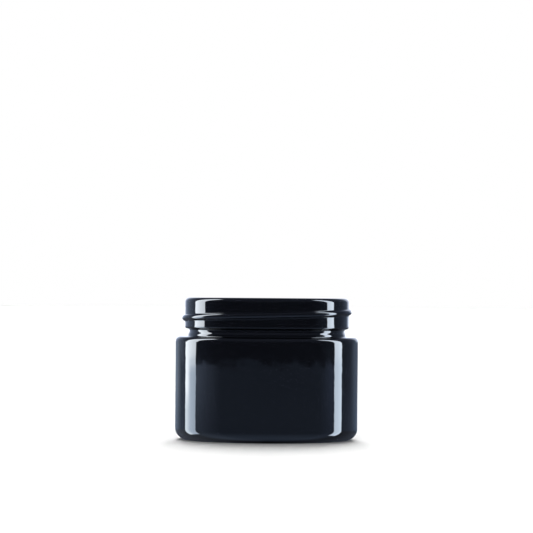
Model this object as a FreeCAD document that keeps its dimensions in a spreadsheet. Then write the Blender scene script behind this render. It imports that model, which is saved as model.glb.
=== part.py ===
"""A glass cream jar and its screw lid, in millimetres, +Z up.

The origin is the centre of the jar's foot, on the surface that the jar stands on. The lid lies straight
behind the jar (+Y) on that surface, open side up, as it is put down after it is unscrewed.
"""

import FreeCAD
import Part
import Sketcher

import os

DIMENSIONS = {
    # Jar: body and foot
    "body_radius": 28.6,
    "shoulder_level": 32.2,
    "shoulder_round": 1.4,
    "heel_round": 3.6,
    "foot_recess_radius": 19.6,
    "foot_recess_depth": 0.8,
    "foot_recess_slope": 0.9,
    "foot_edge_round": 0.5,
    # Jar: neck, with a plain band under the thread and an undercut groove under the band
    "jar_height": 44.4,
    "neck_radius": 25.7,
    "rim_outer_round": 1.4,
    "rim_inner_round": 0.8,
    "band_bottom": 34.9,
    "band_round": 0.6,
    "groove_top": 34.5,
    "groove_top_radius": 24.35,
    "groove_slope_top": 33.7,
    "groove_slope_bottom": 33.05,
    "groove_slope_round": 1.0,
    "groove_foot_radius": 24.6,
    "groove_foot_round": 0.45,
    # Jar: inside
    "mouth_radius": 22.5,
    "mouth_bottom": 34.0,
    "cavity_radius": 23.6,
    "cavity_top": 30.6,
    "cavity_floor": 7.0,
    "cavity_round": 7.0,
    # Jar: thread, one round bead that rises out of the neck wall and sinks back into it
    "bead_round": 0.95,
    "bead_radius": 25.65,
    "thread_pitch": 4.23,
    "thread_low_end": 36.4,
    "thread_angle": 45.0,
    "thread_turns": 0.87,
    "fade_turns": 0.1,
    "fade_depth": 1.2,
    # Lid, whose levels count from its closed end: outer shell
    "lid_distance": 60.5,
    "lid_height": 16.1,
    "shell_wall_radius": 27.7,
    "shell_top": 1.6,
    "shell_top_round": 1.2,
    "shell_edge_round": 0.4,
    # Lid: inner cap, which starts at the inside of the shell's top
    "cap_outer_radius": 27.6,
    "cap_inner_radius": 26.95,
    "cap_top": 1.2,
    "cap_recess": 0.4,
    "cap_corner_round": 0.5,
    "rib_height": 0.12,
    "rib_half_width": 0.4,
    "rib_bite": 0.25,
    "rib_margin": 1.5,
    "rib_count": 12,
    # Lid: thread inside the cap
    "ridge_crest_radius": 26.05,
    "ridge_crest_half": 0.5,
    "ridge_root_half": 1.1,
    "ridge_bite": 0.3,
    "ridge_level": 9.3,
    "ridge_angle": 20.0,
    "ridge_turns": 1.08,
    # Lid: sealing liner, loose in the cap
    "liner_radius": 26.6,
    "liner_thickness": 1.45,
    "liner_play": 0.05,
    "liner_round": 0.3,
}

doc = FreeCAD.newDocument("cream_jar")
sheet = doc.addObject("Spreadsheet::Sheet", "dims")


def fill_sheet():
    for row, (alias, size) in enumerate(DIMENSIONS.items(), start=1):
        sheet.set(f"A{row}", alias)
        sheet.set(f"B{row}", str(size))
        sheet.setAlias(f"B{row}", alias)
    doc.recompute()


def number(formula):
    """The value of a formula that adds and subtracts sizes, such as 'lid_height - cap_recess', or '0'."""
    total = 0.0
    sign = 1.0
    for word in formula.split():
        if word in "+-":
            sign = float(f"{word}1")
        elif word != "0":
            total += sign * sheet.get(word)
    return total


def bound(formula):
    """The same formula as an expression that reads the sheet."""
    return " ".join(word if word in "+-" else f"dims.{word}" for word in formula.split())


# Sketches


def sketch_on(body, name, role):
    """An empty sketch on one of the body's own origin planes."""
    sketch = body.newObject("Sketcher::SketchObject", name)
    plane = next(feature for feature in body.Origin.OriginFeatures if feature.Role == role)
    sketch.AttachmentSupport = [(plane, "")]
    sketch.MapMode = "FlatFace"
    return sketch


def tie_point(sketch, geometry, end, across, up):
    """Places a point of a sketch by two formulas, its distances across and up from the origin."""
    for kind, axis, formula in (("DistanceX", -2, across), ("DistanceY", -1, up)):
        if formula == "0":
            sketch.addConstraint(Sketcher.Constraint("PointOnObject", geometry, end, axis))
        else:
            distance = Sketcher.Constraint(kind, -1, 1, geometry, end, number(formula))
            index = sketch.addConstraint(distance)
            sketch.setExpression(f"Constraints[{index}]", bound(formula))


def outline(sketch, corners):
    """Draws a closed outline of straight sides through corners, each a pair of formulas."""
    places = [FreeCAD.Vector(number(across), number(up), 0) for across, up in corners]
    for n, (across, up) in enumerate(corners):
        after = (n + 1) % len(corners)
        sketch.addGeometry(Part.LineSegment(places[n], places[after]), False)
        tie_point(sketch, n, 1, across, up)
    for n in range(len(corners)):
        after = (n + 1) % len(corners)
        sketch.addConstraint(Sketcher.Constraint("Coincident", n, 2, after, 1))


def turn_about_axis(sketch, angle):
    """Swings an upright sketch about the Z axis to an angle in degrees, a formula."""
    about_up = FreeCAD.Rotation(FreeCAD.Vector(0, 1, 0), 0)
    sketch.AttachmentOffset = FreeCAD.Placement(FreeCAD.Vector(0, 0, 0), about_up)
    sketch.setExpression("AttachmentOffset.Rotation.Angle", f"({angle}) * 1 deg")


# Features


def new_body(name):
    body = doc.addObject("PartDesign::Body", name)
    body.Label = name
    return body


def revolve(body, name, corners):
    """Turns an outline of radii and levels about the Z axis."""
    sketch = sketch_on(body, f"{name}_outline", "XZ_Plane")
    outline(sketch, corners)
    solid = body.newObject("PartDesign::Revolution", name)
    solid.Profile = sketch
    solid.ReferenceAxis = (sketch, ["V_Axis"])
    solid.Angle = 360
    doc.recompute()


def is_circle_at(edge, across, up):
    """Whether an edge is the circle about the Z axis with this radius and level."""
    near = 1e-4
    circle = edge.Curve
    return (
        isinstance(circle, Part.Circle)
        and abs(circle.Radius - number(across)) < near
        and abs(circle.Center.z - number(up)) < near
    )


def round_edge(body, name, radius, across, up):
    """Rounds the edge that runs round the body at this radius and level."""
    solid = body.Tip
    edges = [
        f"Edge{n}"
        for n, edge in enumerate(solid.Shape.Edges, start=1)
        if is_circle_at(edge, across, up)
    ]
    fillet = body.newObject("PartDesign::Fillet", name)
    fillet.Base = (solid, edges)
    fillet.setExpression("Radius", bound(radius))
    doc.recompute()


def thread_bead(body, name, across, start, turns, growth):
    """One stretch of the jar's thread, from start turns along it. The bead moves out growth mm a turn."""
    sketch = sketch_on(body, f"{name}_section", "XZ_Plane")
    centre = FreeCAD.Vector(number(across), number("thread_low_end"), 0)
    upright = FreeCAD.Vector(0, 0, 1)
    sketch.addGeometry(Part.Circle(centre, upright, number("bead_round")), False)
    tie_point(sketch, 0, 3, across, "thread_low_end")
    index = sketch.addConstraint(Sketcher.Constraint("Radius", 0, number("bead_round")))
    sketch.setExpression(f"Constraints[{index}]", bound("bead_round"))
    turn_about_axis(sketch, f"dims.thread_angle + 360 * ({start})")
    sketch.setExpression("AttachmentOffset.Base.y", f"dims.thread_pitch * ({start})")
    helix = body.newObject("PartDesign::AdditiveHelix", name)
    helix.Profile = sketch
    helix.ReferenceAxis = (sketch, ["V_Axis"])
    helix.Mode = "height-turns-growth"
    helix.setExpression("Height", f"dims.thread_pitch * {turns}")
    helix.setExpression("Turns", turns)
    helix.setExpression("Growth", growth)
    doc.recompute()


# The four pieces


def make_glass_jar():
    body = new_body("glass_jar")
    revolve(
        body,
        "glass",
        [
            ("0", "foot_recess_depth"),
            ("foot_recess_radius", "foot_recess_depth"),
            ("foot_recess_radius + foot_recess_slope", "0"),
            ("body_radius", "0"),
            ("body_radius", "shoulder_level"),
            ("groove_foot_radius", "shoulder_level"),
            ("groove_foot_radius", "groove_slope_bottom"),
            ("groove_top_radius", "groove_slope_top"),
            ("groove_top_radius", "groove_top"),
            ("neck_radius", "band_bottom"),
            ("neck_radius", "jar_height"),
            ("mouth_radius", "jar_height"),
            ("mouth_radius", "mouth_bottom"),
            ("cavity_radius", "cavity_top"),
            ("cavity_radius", "cavity_floor"),
            ("0", "cavity_floor"),
        ],
    )
    round_edge(body, "heel", "heel_round", "body_radius", "0")
    round_edge(body, "shoulder", "shoulder_round", "body_radius", "shoulder_level")
    round_edge(body, "rim_outside", "rim_outer_round", "neck_radius", "jar_height")
    round_edge(body, "rim_inside", "rim_inner_round", "mouth_radius", "jar_height")
    round_edge(body, "band_edge", "band_round", "neck_radius", "band_bottom")
    round_edge(body, "groove_foot", "groove_foot_round", "groove_foot_radius", "shoulder_level")
    slope_round = "groove_slope_round"
    round_edge(body, "slope_foot", slope_round, "groove_foot_radius", "groove_slope_bottom")
    round_edge(body, "slope_head", slope_round, "groove_top_radius", "groove_slope_top")
    round_edge(body, "cavity_corner", "cavity_round", "cavity_radius", "cavity_floor")
    round_edge(body, "foot_recess", "foot_edge_round", "foot_recess_radius", "foot_recess_depth")
    sunk = "bead_radius - fade_depth"
    faded = "dims.fade_turns"
    growth = "dims.fade_depth / dims.fade_turns"
    thread_bead(body, "thread_rising", sunk, "0", faded, growth)
    thread_bead(body, "thread", "bead_radius", faded, "dims.thread_turns", "0")
    high_end = "dims.fade_turns + dims.thread_turns"
    thread_bead(body, "thread_sinking", "bead_radius", high_end, faded, f"-{growth}")
    return body


def lay_behind_jar(body):
    body.setExpression("Placement.Base.y", bound("lid_distance"))


def make_lid_outer_shell():
    body = new_body("lid_outer_shell")
    revolve(
        body,
        "shell",
        [
            ("0", "0"),
            ("body_radius", "0"),
            ("body_radius", "lid_height"),
            ("shell_wall_radius", "lid_height"),
            ("shell_wall_radius", "shell_top"),
            ("0", "shell_top"),
        ],
    )
    round_edge(body, "top_edge", "shell_top_round", "body_radius", "0")
    round_edge(body, "skirt_edge", "shell_edge_round", "body_radius", "lid_height")
    lay_behind_jar(body)
    return body


def add_ribs(body):
    """The upright ribs on the cap's wall that grip the shell."""
    sketch = sketch_on(body, "rib_section", "XY_Plane")
    inside = "cap_outer_radius - rib_bite"
    outside = "cap_outer_radius + rib_height"
    outline(
        sketch,
        [
            (inside, "- rib_half_width"),
            (outside, "- rib_half_width"),
            (outside, "rib_half_width"),
            (inside, "rib_half_width"),
        ],
    )
    sketch.setExpression("AttachmentOffset.Base.z", "dims.shell_top + dims.rib_margin")
    rib = body.newObject("PartDesign::Pad", "rib")
    rib.Profile = sketch
    rib.setExpression(
        "Length", "dims.lid_height - dims.cap_recess - dims.shell_top - 2 * dims.rib_margin"
    )
    doc.recompute()
    ribs = body.newObject("PartDesign::PolarPattern", "ribs")
    ribs.Originals = [rib]
    ribs.Axis = (sketch, ["N_Axis"])
    ribs.Angle = 360
    ribs.setExpression("Occurrences", "dims.rib_count")
    body.Tip = ribs
    doc.recompute()


def add_cap_thread(body):
    sketch = sketch_on(body, "ridge_section", "XZ_Plane")
    root = "cap_inner_radius + ridge_bite"
    outline(
        sketch,
        [
            (root, "ridge_level - ridge_root_half"),
            (root, "ridge_level + ridge_root_half"),
            ("ridge_crest_radius", "ridge_level + ridge_crest_half"),
            ("ridge_crest_radius", "ridge_level - ridge_crest_half"),
        ],
    )
    turn_about_axis(sketch, "dims.ridge_angle")
    helix = body.newObject("PartDesign::AdditiveHelix", "ridge")
    helix.Profile = sketch
    helix.ReferenceAxis = (sketch, ["V_Axis"])
    helix.Mode = "pitch-turns-angle"
    helix.setExpression("Pitch", "dims.thread_pitch")
    helix.setExpression("Turns", "dims.ridge_turns")
    doc.recompute()


def make_lid_inner_cap():
    body = new_body("lid_inner_cap")
    edge_level = "lid_height - cap_recess"
    floor_level = "shell_top + cap_top"
    revolve(
        body,
        "cap",
        [
            ("0", "shell_top"),
            ("cap_outer_radius", "shell_top"),
            ("cap_outer_radius", edge_level),
            ("cap_inner_radius", edge_level),
            ("cap_inner_radius", floor_level),
            ("0", floor_level),
        ],
    )
    round_edge(body, "cap_corner", "cap_corner_round", "cap_outer_radius", "shell_top")
    add_ribs(body)
    add_cap_thread(body)
    lay_behind_jar(body)
    return body


def make_lid_liner():
    body = new_body("lid_liner")
    bottom = "shell_top + cap_top + liner_play"
    top = f"{bottom} + liner_thickness"
    revolve(body, "liner", [("0", bottom), ("liner_radius", bottom), ("liner_radius", top), ("0", top)])
    round_edge(body, "liner_edge", "liner_round", "liner_radius", top)
    lay_behind_jar(body)
    return body


def check(pieces):
    """Stops if a feature has failed or a piece isn't one sound solid."""
    doc.recompute()
    for feature in doc.Objects:
        if "Invalid" in feature.State or "Error" in feature.State:
            raise RuntimeError(f"{feature.Name}: {feature.State}")
    for piece in pieces:
        shape = piece.Shape
        if shape.isNull() or not shape.isValid() or len(shape.Solids) != 1:
            raise RuntimeError(f"{piece.Label} isn't one valid solid")
        print(f"{piece.Label}: {shape.Volume:.1f} mm3")


def export(pieces):
    os.makedirs("parts", exist_ok=True)
    for piece in pieces:
        piece.Shape.exportStep(f"parts/{piece.Label}.step")


fill_sheet()
pieces = [make_glass_jar(), make_lid_outer_shell(), make_lid_inner_cap(), make_lid_liner()]
check(pieces)
export(pieces)
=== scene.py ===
"""The looks of a black glass cream jar and its lid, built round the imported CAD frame, in metres."""

import math

import bmesh
import bpy
from mathutils import Euler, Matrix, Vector


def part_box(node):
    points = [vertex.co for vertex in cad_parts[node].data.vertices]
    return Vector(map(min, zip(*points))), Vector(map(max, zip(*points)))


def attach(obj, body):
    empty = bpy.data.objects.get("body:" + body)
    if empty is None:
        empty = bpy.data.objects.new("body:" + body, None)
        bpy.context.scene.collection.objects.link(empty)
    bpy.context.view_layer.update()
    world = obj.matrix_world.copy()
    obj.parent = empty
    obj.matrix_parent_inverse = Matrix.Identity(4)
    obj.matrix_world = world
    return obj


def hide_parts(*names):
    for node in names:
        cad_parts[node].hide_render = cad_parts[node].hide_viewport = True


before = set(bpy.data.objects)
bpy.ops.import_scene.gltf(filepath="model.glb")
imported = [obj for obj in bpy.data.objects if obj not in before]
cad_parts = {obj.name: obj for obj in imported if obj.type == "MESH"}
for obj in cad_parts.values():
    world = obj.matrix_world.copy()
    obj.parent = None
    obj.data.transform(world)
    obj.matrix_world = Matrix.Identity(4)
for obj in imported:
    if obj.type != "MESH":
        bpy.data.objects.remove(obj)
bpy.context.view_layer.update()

MM = 0.001
FULL_TURN = 2 * math.pi
NEAR = 1e-7

# Read from the frame
jar_low, jar_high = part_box("glass_jar")
lid_low, lid_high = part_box("lid_outer_shell")
cap_low, cap_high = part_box("lid_inner_cap")
liner_low, liner_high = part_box("lid_liner")
JAR_HEIGHT = jar_high.z
BODY_RADIUS = (jar_high.x - jar_low.x) / 2
LID_CENTRE = (lid_low + lid_high) / 2
LID_RADIUS = (lid_high.x - lid_low.x) / 2
LINER_RADIUS = (liner_high.x - liner_low.x) / 2

# Jar outline
SHOULDER_LEVEL = 32.2 * MM
NECK_RADIUS = 25.7 * MM
BAND_BOTTOM = 34.9 * MM
GROOVE_TOP = 34.5 * MM
GROOVE_TOP_RADIUS = 24.35 * MM
GROOVE_SLOPE_TOP = 33.7 * MM
GROOVE_SLOPE_BOTTOM = 33.05 * MM
GROOVE_FOOT_RADIUS = 24.6 * MM
MOUTH_RADIUS = 22.5 * MM
MOUTH_BOTTOM = 34.0 * MM
CAVITY_RADIUS = 23.6 * MM
CAVITY_TOP = 30.6 * MM
CAVITY_FLOOR = 7.0 * MM
FOOT_RECESS_RADIUS = 19.6 * MM
FOOT_RECESS_DEPTH = 0.8 * MM
FOOT_RING_RADIUS = 20.5 * MM
FOOT_BARS = 72
FOOT_BAR_DEPTH = 0.08 * MM

# Jar rounds
FOOT_RECESS_ROUND = 0.5 * MM
FOOT_RING_ROUND = 0.4 * MM
HEEL_ROUND = 3.6 * MM
SHOULDER_ROUND = 1.4 * MM
GROOVE_FOOT_ROUND = 0.4 * MM
GROOVE_SLOPE_ROUND = 1.0 * MM
GROOVE_TOP_ROUND = 0.3 * MM
BAND_ROUND = 0.6 * MM
RIM_OUTER_ROUND = 1.4 * MM
RIM_INNER_ROUND = 0.8 * MM
THROAT_ROUND = 3.0 * MM
CAVITY_FLOOR_ROUND = 7.0 * MM

# Jar thread, a ridge with a round nose, straight flanks and a hollow foot
THREAD_PITCH = 4.23 * MM
THREAD_LOW_END = 36.4 * MM
THREAD_LOW_ANGLE = math.radians(45)
THREAD_SWEEP = 1.07 * FULL_TURN
THREAD_FADE = 0.1 * FULL_TURN
THREAD_HEIGHT = 0.9 * MM
THREAD_NOSE_ROUND = 0.95 * MM
THREAD_FOOT_ROUND = 0.12 * MM
THREAD_FLANK_LEAN = math.radians(65)

# Lid
SHELL_WALL_RADIUS = 27.7 * MM
SHELL_TOP = 1.6 * MM
CAP_OUTER_RADIUS = 27.6 * MM
CAP_INNER_RADIUS = 26.95 * MM
CAP_FLOOR = 2.8 * MM
RIDGE_HEIGHT = 0.9 * MM
RIDGE_CREST_HALF = 0.5 * MM
RIDGE_ROOT_HALF = 1.1 * MM
RIDGE_LEVEL = 9.3 * MM
RIDGE_ANGLE = math.radians(20)
RIDGE_SWEEP = 1.08 * FULL_TURN
RIDGE_FADE = math.radians(5)

# Lid rounds
SHELL_TOP_ROUND = 1.2 * MM
SHELL_EDGE_OUTER_ROUND = 0.4 * MM
SHELL_EDGE_INNER_ROUND = 0.25 * MM
SHELL_INSIDE_ROUND = 0.3 * MM
CAP_TOP_ROUND = 0.5 * MM
CAP_EDGE_OUTER_ROUND = 0.2 * MM
CAP_EDGE_INNER_ROUND = 0.35 * MM
CAP_FLOOR_ROUND = 0.3 * MM
LINER_LOW_ROUND = 0.2 * MM
LINER_HIGH_ROUND = 0.35 * MM

# Fineness of the surfaces
ARC_STEP = math.radians(6)
FLAT_MARGIN = 0.04 * MM
NECK_STEP = 0.1 * MM
FOOT_STEP = 0.4 * MM
CAP_STEP = 0.12 * MM
JAR_SEGMENTS = 360
SHELL_SEGMENTS = 240
CAP_SEGMENTS = 288
LINER_SEGMENTS = 180

# Studio tones, as the gloss mirrors them
DIM_ROOM = (0.05, 0.06, 0.09)
SIDE_WALL = (0.10, 0.13, 0.19)
LIT_WALL = (0.4, 0.5, 0.7)
WHITE_SWEEP = (1.0, 1.1, 1.35)
FAINT_SPILL = (0.2, 0.26, 0.37)
TABLE = (0.15, 0.20, 0.30)
SHADED_TABLE = (0.11, 0.14, 0.21)
LIT_TABLE = (0.4, 0.5, 0.65)
LEFT_SPILL = (0.55, 0.7, 1.0)
RIGHT_SPILL = (0.3, 0.4, 0.65)
# Painted shade: the darkest tone under the jar
PAINTED_SHADE_DARKEST = (0.014, 0.015, 0.02)

# Where they are seen, by heading in degrees from straight behind towards +X
BACKDROP = [
    (-110, DIM_ROOM),
    (-80, SIDE_WALL),
    (-24, LIT_WALL),
    (-8, WHITE_SWEEP),
    (20, WHITE_SWEEP),
    (28, FAINT_SPILL),
    (50, SIDE_WALL),
    (95, SIDE_WALL),
    (110, DIM_ROOM),
]
TABLE_TOP = [
    (-120, TABLE),
    (-85, LEFT_SPILL),
    (-45, TABLE),
    (-30, LIT_TABLE),
    (10, SHADED_TABLE),
    (34, FAINT_SPILL),
    (50, SHADED_TABLE),
    (65, SHADED_TABLE),
    (90, RIGHT_SPILL),
    (110, TABLE),
]

# Nearer, the table nears its plain tone by this share, and brightens with depth below the horizon
NEAR_SHARE = 0.6
NEAR_GLOW = [(0.3, 1.1), (0.85, 2.3)]

# Painted shade under the jar, as the gloss mirrors it, lightest at the left: from the left side, 0, to the
# right side, 1
SHADE_UNDER_THE_JAR = [
    (0.1, (0.26, 0.30, 0.37)),
    (0.3, (0.16, 0.18, 0.23)),
    (0.5, PAINTED_SHADE_DARKEST),
    (0.7, (0.10, 0.12, 0.16)),
    (0.9, (0.13, 0.15, 0.20)),
]
OVERHEAD = (0.13, 0.155, 0.23)
OVERHEAD_HEIGHTS = (0.1, 0.6)

# Where the table turns near, and where the painted shade under the jar sets in: a depth is how far the
# direction points down, and back is how far it points to +Y
NEAR_DEPTHS = (0.028, 0.046)
STEEP_DEPTHS = (0.3, 0.6)
STEEP_BACK = (-0.5, 0.65)
GRAZING_DEPTHS = (0.055, 0.13)
GRAZING_BACK = (-0.1, 0.4)

# The table's edge against the backdrop, as heights of the direction to it
FRONT_EDGE = -0.0228
BACK_EDGE = -0.0135
EDGE_BACK = (0.68, 0.82)
EDGE_BLUR = (-0.0014, 0.0014)
EDGE_RIPPLE = 0.009
EDGE_RIPPLE_SCALE = 6

# Tall light panels: headings of both sides in degrees, heights of the top and bottom
LEFT_PANEL = (-79.3, -56.0, 0.80, -0.43)
RIGHT_PANEL = (70.4, 85.0, 0.77, -0.5)
PANEL_SIDE_BLUR = 0.8
PANEL_TOP_BLUR = 0.03
PANEL_BOTTOM_BLUR = (-0.05, 0.03)
PANEL_RIPPLE = 0.009
PANEL_RIPPLE_SCALE = 14
RIPPLE_STRETCH = (1.0, 1.0, 30.0)
PANEL_LEAN_HEIGHTS = (-0.017, -0.005)
LEFT_PANEL_LEAN = 3.5
RIGHT_PANEL_LEAN = -1.5

# Panel light, which is dimmer lower down, and dimmest down the left panel's inner side
LEFT_LIGHT = (8.8, 9.5, 10.3)
LEFT_LOW_LIGHT = (6.0, 6.8, 7.6)
LEFT_LOW_DEPTHS = (0.030, 0.040)
LEFT_SIDE_LIGHT = (4.6, 5.5, 6.7)
LEFT_SIDE = [(-68, 1.0), (-62, 0.0)]
LEFT_SIDE_DEPTHS = (0.018, 0.027)
RIGHT_LIGHT = (9.2, 10.4, 11.9)
RIGHT_LOW_LIGHT = (7.5, 8.8, 10.4)
RIGHT_LOW_DEPTHS = (0.016, 0.024)

# Light on the floor and the matte surfaces, by radians from straight behind
SKY_SPREAD = (0.4, 0.15)
DIM_SKY = (0.35, 0.35, 0.35)
BRIGHT_SKY = (11.2, 11.2, 11.2)
WHITE = (1.0, 1.0, 1.0)
FLOOR_RADIUS = 12.0
FLOOR_COLOUR = (0.92, 0.92, 0.92, 1)

# Viewpoint
CAMERA_DISTANCE = 0.9
CAMERA_ASIDE = 0.2 * MM
CAMERA_LENS = 193.6
CAMERA_SHIFT_UP = 0.0591
CAMERA_ROLL = math.radians(0.42)


# Outlines, as points of (radius, level)


def arc(start, end, middle):
    """Points from start to end along the circle about middle, the short way."""
    from_angle = math.atan2(start.y - middle.y, start.x - middle.x)
    to_angle = math.atan2(end.y - middle.y, end.x - middle.x)
    sweep = (to_angle - from_angle + math.pi) % FULL_TURN - math.pi
    radius = (start - middle).length
    count = max(2, math.ceil(abs(sweep) / ARC_STEP))
    angles = [from_angle + sweep * n / count for n in range(count + 1)]
    return [middle + radius * Vector((math.cos(a), math.sin(a))) for a in angles]


def rounded(corners):
    """An outline through corners of (radius, level, round), rounded by arcs at all but the first and last.

    A point on the flat at each side of an arc keeps that flat even when it is shaded smooth."""
    places = [Vector((radius, level)) for radius, level, _ in corners]
    points = [places[0]]
    for n in range(1, len(corners) - 1):
        corner = places[n]
        back = (places[n - 1] - corner).normalized()
        ahead = (places[n + 1] - corner).normalized()
        half_opening = back.angle(ahead) / 2
        reach = corners[n][2] / math.tan(half_opening)
        middle = corner + (back + ahead).normalized() * corners[n][2] / math.sin(half_opening)
        points.append(corner + back * (reach + FLAT_MARGIN))
        points += arc(corner + back * reach, corner + ahead * reach, middle)
        points.append(corner + ahead * (reach + FLAT_MARGIN))
    points.append(places[-1])
    return points


def divided(points, longest, axis, place):
    """The outline with each run along one radius (axis 0) or level (axis 1) cut into steps up to longest."""
    finer = [points[0]]
    for start, end in zip(points, points[1:]):
        is_wanted = abs(start[axis] - place) < NEAR and abs(end[axis] - place) < NEAR
        count = math.ceil((end - start).length / longest) if is_wanted else 1
        finer += [start.lerp(end, n / count) for n in range(1, count + 1)]
    return finer


def smooth_step(share):
    """0 to 1, smoothly, as share goes from 0 to 1."""
    share = min(1.0, max(0.0, share))
    return share * share * (3 - 2 * share)


# Surfaces


def turned(name, outline, segments, centre=(0, 0), relief=None):
    """A closed surface made by turning an outline about an upright axis through centre.

    relief(radius, level, angle) gives how far a point moves out and up from the plain outline."""
    form = bmesh.new()
    rings = []
    for point in outline:
        on_axis = point.x < NEAR
        ring = []
        for n in range(1 if on_axis else segments):
            angle = FULL_TURN * n / segments
            out, up = relief(point.x, point.y, angle) if relief and not on_axis else (0, 0)
            radius = point.x + out
            x = centre[0] + radius * math.cos(angle)
            y = centre[1] + radius * math.sin(angle)
            ring.append(form.verts.new((x, y, point.y + up)))
        rings.append(ring)
    for ring, after in zip(rings, rings[1:]):
        for n in range(segments):
            corners = [ring[n % len(ring)], ring[(n + 1) % len(ring)]]
            corners += [after[(n + 1) % len(after)], after[n % len(after)]]
            form.faces.new(list(dict.fromkeys(corners)))
    bmesh.ops.recalc_face_normals(form, faces=form.faces)
    mesh = bpy.data.meshes.new(name)
    form.to_mesh(mesh)
    form.free()
    mesh.shade_smooth()
    piece = bpy.data.objects.new(name, mesh)
    bpy.context.scene.collection.objects.link(piece)
    return piece


def on_thread(angle, low_angle, sweep, fade):
    """Each place along a thread at this angle: how far along it, and how fully it stands there."""
    places = []
    for turn in range(2):
        along = (angle - low_angle) % FULL_TURN + turn * FULL_TURN
        if along <= sweep:
            places.append((along, min(1.0, along / fade, (sweep - along) / fade)))
    return places


def thread_profile(offset):
    """How far the full thread stands out at this distance above or below its middle."""
    drop = THREAD_NOSE_ROUND * (1 - math.cos(THREAD_FLANK_LEAN))
    lift = THREAD_FOOT_ROUND * (1 - math.cos(THREAD_FLANK_LEAN))
    flank_start = THREAD_NOSE_ROUND * math.sin(THREAD_FLANK_LEAN)
    flank_end = flank_start + (THREAD_HEIGHT - drop - lift) / math.tan(THREAD_FLANK_LEAN)
    foot = flank_end + THREAD_FOOT_ROUND * math.sin(THREAD_FLANK_LEAN)
    if offset >= foot:
        return 0.0
    if offset >= flank_end:
        return THREAD_FOOT_ROUND - math.sqrt(THREAD_FOOT_ROUND**2 - (foot - offset) ** 2)
    if offset >= flank_start:
        return lift + (flank_end - offset) * math.tan(THREAD_FLANK_LEAN)
    return THREAD_HEIGHT - THREAD_NOSE_ROUND + math.sqrt(THREAD_NOSE_ROUND**2 - offset**2)


def jar_relief(radius, level, angle):
    """The thread on the neck wall, and the fine bars pressed into the ring that the jar stands on."""
    if abs(radius - NECK_RADIUS) < NEAR:
        height = 0.0
        for along, fullness in on_thread(angle, THREAD_LOW_ANGLE, THREAD_SWEEP, THREAD_FADE):
            offset = abs(level - THREAD_LOW_END - THREAD_PITCH * along / FULL_TURN)
            height = max(height, thread_profile(offset) * smooth_step(fullness))
        return height, 0.0
    if level < NEAR:
        wave = 0.5 - 0.5 * math.cos(FOOT_BARS * angle)
        return 0.0, FOOT_BAR_DEPTH * wave
    return 0.0, 0.0


def cap_relief(radius, level, angle):
    """The ridge inside the cap that runs under the jar's thread."""
    if abs(radius - CAP_INNER_RADIUS) > NEAR:
        return 0.0, 0.0
    height = 0.0
    for along, fullness in on_thread(angle, RIDGE_ANGLE, RIDGE_SWEEP, RIDGE_FADE):
        offset = abs(level - RIDGE_LEVEL - THREAD_PITCH * along / FULL_TURN)
        flank = smooth_step((RIDGE_ROOT_HALF - offset) / (RIDGE_ROOT_HALF - RIDGE_CREST_HALF))
        height = max(height, RIDGE_HEIGHT * flank * smooth_step(fullness))
    return -height, 0.0


def make_jar():
    corners = [
        (0, FOOT_RECESS_DEPTH, 0),
        (FOOT_RECESS_RADIUS, FOOT_RECESS_DEPTH, FOOT_RECESS_ROUND),
        (FOOT_RING_RADIUS, 0, FOOT_RING_ROUND),
        (BODY_RADIUS, 0, HEEL_ROUND),
        (BODY_RADIUS, SHOULDER_LEVEL, SHOULDER_ROUND),
        (GROOVE_FOOT_RADIUS, SHOULDER_LEVEL, GROOVE_FOOT_ROUND),
        (GROOVE_FOOT_RADIUS, GROOVE_SLOPE_BOTTOM, GROOVE_SLOPE_ROUND),
        (GROOVE_TOP_RADIUS, GROOVE_SLOPE_TOP, GROOVE_SLOPE_ROUND),
        (GROOVE_TOP_RADIUS, GROOVE_TOP, GROOVE_TOP_ROUND),
        (NECK_RADIUS, BAND_BOTTOM, BAND_ROUND),
        (NECK_RADIUS, JAR_HEIGHT, RIM_OUTER_ROUND),
        (MOUTH_RADIUS, JAR_HEIGHT, RIM_INNER_ROUND),
        (MOUTH_RADIUS, MOUTH_BOTTOM, THROAT_ROUND),
        (CAVITY_RADIUS, CAVITY_TOP, THROAT_ROUND),
        (CAVITY_RADIUS, CAVITY_FLOOR, CAVITY_FLOOR_ROUND),
        (0, CAVITY_FLOOR, 0),
    ]
    outline = divided(rounded(corners), NECK_STEP, 0, NECK_RADIUS)
    outline = divided(outline, FOOT_STEP, 1, 0.0)
    return turned("jar_glass", outline, JAR_SEGMENTS, relief=jar_relief)


def make_lid_shell():
    corners = [
        (0, 0, 0),
        (LID_RADIUS, 0, SHELL_TOP_ROUND),
        (LID_RADIUS, lid_high.z, SHELL_EDGE_OUTER_ROUND),
        (SHELL_WALL_RADIUS, lid_high.z, SHELL_EDGE_INNER_ROUND),
        (SHELL_WALL_RADIUS, SHELL_TOP, SHELL_INSIDE_ROUND),
        (0, SHELL_TOP, 0),
    ]
    return turned("lid_cover", rounded(corners), SHELL_SEGMENTS, LID_CENTRE)


def make_lid_cap():
    corners = [
        (0, SHELL_TOP, 0),
        (CAP_OUTER_RADIUS, SHELL_TOP, CAP_TOP_ROUND),
        (CAP_OUTER_RADIUS, cap_high.z, CAP_EDGE_OUTER_ROUND),
        (CAP_INNER_RADIUS, cap_high.z, CAP_EDGE_INNER_ROUND),
        (CAP_INNER_RADIUS, CAP_FLOOR, CAP_FLOOR_ROUND),
        (0, CAP_FLOOR, 0),
    ]
    outline = divided(rounded(corners), CAP_STEP, 0, CAP_INNER_RADIUS)
    return turned("lid_threaded_cap", outline, CAP_SEGMENTS, LID_CENTRE, cap_relief)


def make_liner():
    corners = [
        (0, liner_low.z, 0),
        (LINER_RADIUS, liner_low.z, LINER_LOW_ROUND),
        (LINER_RADIUS, liner_high.z, LINER_HIGH_ROUND),
        (0, liner_high.z, 0),
    ]
    return turned("lid_foam_liner", rounded(corners), LINER_SEGMENTS, LID_CENTRE)


# Materials


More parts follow.
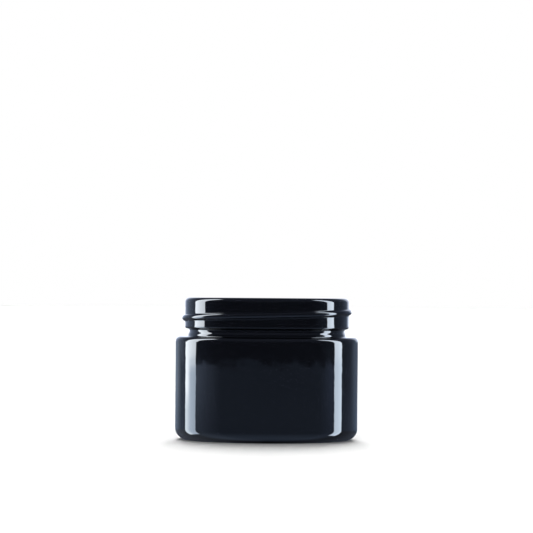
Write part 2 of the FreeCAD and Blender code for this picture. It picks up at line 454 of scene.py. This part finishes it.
def add(tree, kind, inputs=None, **settings):
    """A node with its settings made and its inputs set or linked."""
    node = tree.nodes.new(kind)
    for name, value in settings.items():
        setattr(node, name, value)
    for name, value in (inputs or {}).items():
        if isinstance(value, bpy.types.NodeSocket):
            tree.links.new(value, node.inputs[name])
        else:
            node.inputs[name].default_value = value
    return node


def ramp(tree, value, stops):
    """A colour ramp over value, with stops of (place, grey level or colour)."""
    node = add(tree, "ShaderNodeValToRGB", {"Fac": value})
    elements = node.color_ramp.elements
    while len(elements) < len(stops):
        elements.new(0.5)
    for element, (place, colour) in zip(elements, stops):
        element.position = place
        element.color = (*colour, 1) if isinstance(colour, tuple) else (colour, colour, colour, 1)
    return node.outputs["Color"]


def noise(tree, place, scale, detail=3.0, roughness=0.5):
    inputs = {"Vector": place, "Scale": scale, "Detail": detail, "Roughness": roughness}
    return add(tree, "ShaderNodeTexNoise", inputs).outputs["Fac"]


def new_material(name):
    material = bpy.data.materials.new(name)
    material.use_nodes = True
    tree = material.node_tree
    place = add(tree, "ShaderNodeTexCoord").outputs["Object"]
    return material, tree, tree.nodes["Principled BSDF"], place


def set_varied(tree, surface, name, pattern, stops):
    """One input of the surface, varied by a pattern through a colour ramp."""
    tree.links.new(ramp(tree, pattern, stops), surface.inputs[name])


def set_bump(tree, surface, pattern, distance):
    inputs = {"Height": pattern, "Distance": distance, "Strength": 1.0}
    tree.links.new(add(tree, "ShaderNodeBump", inputs).outputs["Normal"], surface.inputs["Normal"])


def black_glass():
    """Near-black glass with faint smears in its gloss and slow waves along its wall."""
    material, tree, surface, place = new_material("black_glass")
    black = (0.0018, 0.0020, 0.0030)
    navy = (0.0025, 0.0027, 0.0041)
    set_varied(tree, surface, "Base Color", noise(tree, place, scale=90), [(0.3, black), (0.7, navy)])
    smear = noise(tree, place, scale=220, detail=5.0, roughness=0.6)
    set_varied(tree, surface, "Roughness", smear, [(0.35, 0.012), (0.75, 0.03)])
    stretch = add(tree, "ShaderNodeMapping", {"Vector": place, "Scale": (1.0, 1.0, 1.6)}).outputs["Vector"]
    set_bump(tree, surface, noise(tree, stretch, scale=150, detail=1.0), distance=0.004 * MM)
    surface.inputs["IOR"].default_value = 1.52
    return material


def gloss_plastic():
    """Smooth black plastic with a soft gloss and a slight moulding ripple."""
    material, tree, surface, place = new_material("lid_gloss_plastic")
    set_varied(tree, surface, "Base Color", noise(tree, place, scale=120), [(0.3, 0.008), (0.7, 0.011)])
    scuffs = noise(tree, place, scale=500, detail=4.0)
    set_varied(tree, surface, "Roughness", scuffs, [(0.3, 0.12), (0.7, 0.2)])
    set_bump(tree, surface, noise(tree, place, scale=900, detail=2.0), distance=0.004 * MM)
    surface.inputs["IOR"].default_value = 1.5
    return material


def matte_plastic():
    """Moulded plastic with a fine spark-eroded grain."""
    material, tree, surface, place = new_material("lid_matte_plastic")
    set_varied(tree, surface, "Base Color", noise(tree, place, scale=200), [(0.3, 0.012), (0.7, 0.018)])
    scuffs = noise(tree, place, scale=700, detail=4.0)
    set_varied(tree, surface, "Roughness", scuffs, [(0.3, 0.34), (0.7, 0.46)])
    set_bump(tree, surface, noise(tree, place, scale=5000, detail=2.0), distance=0.01 * MM)
    surface.inputs["IOR"].default_value = 1.49
    return material


def liner_foam():
    """White closed-cell foam, its cells about 0.4 mm across."""
    material, tree, surface, place = new_material("liner_foam")
    warm = (0.80, 0.80, 0.77)
    pale = (0.88, 0.88, 0.86)
    clouds = noise(tree, place, scale=300, detail=4.0)
    set_varied(tree, surface, "Base Color", clouds, [(0.3, warm), (0.7, pale)])
    cells = add(tree, "ShaderNodeTexVoronoi", {"Vector": place, "Scale": 2600}).outputs["Distance"]
    set_bump(tree, surface, cells, distance=0.05 * MM)
    surface.inputs["Roughness"].default_value = 0.55
    return material


# Studio


def rise(tree, value, low, high):
    """0 to 1, smoothly, as value goes from low to high."""
    inputs = {"Value": value, "From Min": low, "From Max": high}
    return add(tree, "ShaderNodeMapRange", inputs, interpolation_type="SMOOTHSTEP").outputs["Result"]


def maths(tree, operation, *values):
    return add(tree, "ShaderNodeMath", dict(enumerate(values)), operation=operation).outputs[0]


def spread(tree, value, low, high):
    """0 to 1, evenly, as value goes from low to high."""
    inputs = {"Value": value, "From Min": low, "From Max": high}
    return add(tree, "ShaderNodeMapRange", inputs).outputs["Result"]


def ripple(tree, place, scale, size):
    """Noise about zero, this large from trough to crest."""
    return maths(tree, "MULTIPLY", maths(tree, "SUBTRACT", noise(tree, place, scale), 0.5), size)


def mix_colours(tree, factor, a, b):
    node = add(tree, "ShaderNodeMix", data_type="RGBA")
    for socket, value in zip((0, 6, 7), (factor, a, b)):
        if isinstance(value, bpy.types.NodeSocket):
            tree.links.new(value, node.inputs[socket])
        else:
            node.inputs[socket].default_value = value if socket == 0 else (*value, 1)
    return node.outputs[2]


def compass(degrees):
    """A heading in degrees from straight behind towards +X, as the share of the full circle used below."""
    return 0.5 + degrees / 360


def compass_ramp(tree, heading, stops):
    return ramp(tree, heading, [(compass(degrees), colour) for degrees, colour in stops])


def panel(tree, heading, height, left, right, top, bottom):
    """Where a tall light panel stands: between two headings in degrees, with soft ends."""
    from_left = rise(tree, heading, compass(left - PANEL_SIDE_BLUR), compass(left + PANEL_SIDE_BLUR))
    from_right = rise(tree, heading, compass(right + PANEL_SIDE_BLUR), compass(right - PANEL_SIDE_BLUR))
    across = maths(tree, "MULTIPLY", from_left, from_right)
    under_top = rise(tree, height, top + PANEL_TOP_BLUR, top - PANEL_TOP_BLUR)
    over_bottom = rise(tree, height, *[bottom + blur for blur in PANEL_BOTTOM_BLUR])
    upright = maths(tree, "MULTIPLY", under_top, over_bottom)
    return maths(tree, "MULTIPLY", across, upright)


def leaning(tree, heading, height, degrees):
    """The heading, moved by these degrees higher up, so that a panel stands off upright by them."""
    lean = rise(tree, height, *PANEL_LEAN_HEIGHTS)
    return maths(tree, "ADD", heading, maths(tree, "MULTIPLY", lean, degrees / 360))


def mirrored_table(tree, axes, heading, depth):
    """The dim navy table: far off, then nearer with less contrast, and painted shade under the jar, darkest
    in the middle.
    """
    far = compass_ramp(tree, heading, TABLE_TOP)
    near = mix_colours(tree, NEAR_SHARE, far, TABLE)
    glow = ramp(tree, depth, NEAR_GLOW)
    near = add(tree, "ShaderNodeVectorMath", {0: near, 1: glow}, operation="MULTIPLY").outputs[0]
    table = mix_colours(tree, rise(tree, depth, *NEAR_DEPTHS), far, near)
    # Painted shade under the jar: directions that point steeply down, or just below the horizon towards the
    # back
    steep = maths(tree, "MULTIPLY", rise(tree, axes["Y"], *STEEP_BACK), rise(tree, depth, *STEEP_DEPTHS))
    grazing = maths(
        tree, "MULTIPLY", rise(tree, axes["Y"], *GRAZING_BACK), rise(tree, depth, *GRAZING_DEPTHS)
    )
    under = maths(tree, "MAXIMUM", steep, grazing)
    aside = spread(tree, axes["X"], -1.0, 1.0)
    return mix_colours(tree, under, table, ramp(tree, aside, SHADE_UNDER_THE_JAR))


def above_the_table(tree, axes, place):
    """1 above the table's edge, which stands higher at the back and is slightly uneven."""
    to_back = maths(tree, "MULTIPLY", rise(tree, axes["Y"], *EDGE_BACK), BACK_EDGE - FRONT_EDGE)
    edge = maths(tree, "ADD", to_back, FRONT_EDGE)
    uneven = maths(tree, "ADD", axes["Z"], ripple(tree, place, EDGE_RIPPLE_SCALE, EDGE_RIPPLE))
    return rise(tree, maths(tree, "SUBTRACT", uneven, edge), *EDGE_BLUR)


def left_panel_light(tree, heading, depth):
    low = rise(tree, depth, *LEFT_LOW_DEPTHS)
    side = compass_ramp(tree, heading, LEFT_SIDE)
    dim = maths(tree, "MULTIPLY", side, rise(tree, depth, *LEFT_SIDE_DEPTHS))
    return mix_colours(tree, dim, mix_colours(tree, low, LEFT_LIGHT, LEFT_LOW_LIGHT), LEFT_SIDE_LIGHT)


def right_panel_light(tree, depth):
    return mix_colours(tree, rise(tree, depth, *RIGHT_LOW_DEPTHS), RIGHT_LIGHT, RIGHT_LOW_LIGHT)


def mirrored_room(tree, direction):
    """What the gloss mirrors: two tall light panels, a white sweep straight behind and a dim navy table."""
    axes = add(tree, "ShaderNodeSeparateXYZ", {"Vector": direction}).outputs
    height = axes["Z"]
    depth = maths(tree, "MULTIPLY", height, -1.0)
    heading = spread(tree, maths(tree, "ARCTAN2", axes["X"], axes["Y"]), -math.pi, math.pi)
    place = add(tree, "ShaderNodeMapping", {"Vector": direction, "Scale": RIPPLE_STRETCH}).outputs["Vector"]
    table = mirrored_table(tree, axes, heading, depth)
    backdrop = compass_ramp(tree, heading, BACKDROP)
    colour = mix_colours(tree, above_the_table(tree, axes, place), table, backdrop)
    colour = mix_colours(tree, rise(tree, height, *OVERHEAD_HEIGHTS), colour, OVERHEAD)
    heading = maths(tree, "ADD", heading, ripple(tree, place, PANEL_RIPPLE_SCALE, PANEL_RIPPLE))
    left = panel(tree, leaning(tree, heading, height, LEFT_PANEL_LEAN), height, *LEFT_PANEL)
    colour = mix_colours(tree, left, colour, left_panel_light(tree, heading, depth))
    right = panel(tree, leaning(tree, heading, height, RIGHT_PANEL_LEAN), height, *RIGHT_PANEL)
    return mix_colours(tree, right, colour, right_panel_light(tree, depth))


def make_world():
    """White behind the object and above the floor, and a dim room in what the gloss mirrors."""
    world = bpy.data.worlds.new("studio")
    bpy.context.scene.world = world
    world.use_nodes = True
    world.cycles.sampling_method = "NONE"
    tree = world.node_tree
    rays = add(tree, "ShaderNodeLightPath").outputs
    direction = add(tree, "ShaderNodeTexCoord").outputs["Generated"]
    axes = add(tree, "ShaderNodeSeparateXYZ", {"Vector": direction}).outputs
    off_behind = maths(tree, "ARCTAN2", maths(tree, "ABSOLUTE", axes["X"]), axes["Y"])
    sky = mix_colours(tree, rise(tree, off_behind, *SKY_SPREAD), DIM_SKY, BRIGHT_SKY)
    colour = mix_colours(tree, rays["Is Diffuse Ray"], mirrored_room(tree, direction), sky)
    colour = mix_colours(tree, rays["Is Camera Ray"], colour, WHITE)
    tree.links.new(colour, tree.nodes["Background"].inputs["Color"])


def make_floor():
    bpy.ops.mesh.primitive_circle_add(vertices=96, radius=FLOOR_RADIUS, fill_type="NGON")
    floor = bpy.context.object
    floor.name = "floor"
    floor.visible_glossy = False
    material, _, surface, _ = new_material("pale_floor")
    surface.inputs["Base Color"].default_value = FLOOR_COLOUR
    surface.inputs["Roughness"].default_value = 1.0
    surface.inputs["Specular IOR Level"].default_value = 0.0
    floor.data.materials.append(material)


def make_camera():
    lens = bpy.data.cameras.new("camera")
    lens.lens = CAMERA_LENS
    lens.sensor_width = 36.0
    lens.shift_y = CAMERA_SHIFT_UP
    lens.clip_start = 0.01
    camera = bpy.data.objects.new("camera", lens)
    camera.location = (-CAMERA_ASIDE, -CAMERA_DISTANCE, JAR_HEIGHT)
    camera.rotation_euler = Euler((math.radians(90), 0, 0))
    camera.rotation_euler.rotate_axis("Z", CAMERA_ROLL)
    bpy.context.scene.collection.objects.link(camera)
    bpy.context.scene.camera = camera


def show(piece, material, body, node):
    piece.data.materials.append(material)
    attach(piece, body)
    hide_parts(node)


make_camera()
make_world()
make_floor()
show(make_jar(), black_glass(), "jar", "glass_jar")
show(make_lid_shell(), gloss_plastic(), "lid", "lid_outer_shell")
show(make_lid_cap(), matte_plastic(), "lid", "lid_inner_cap")
show(make_liner(), liner_foam(), "liner", "lid_liner")

scene = bpy.context.scene
scene.view_settings.view_transform = "Standard"
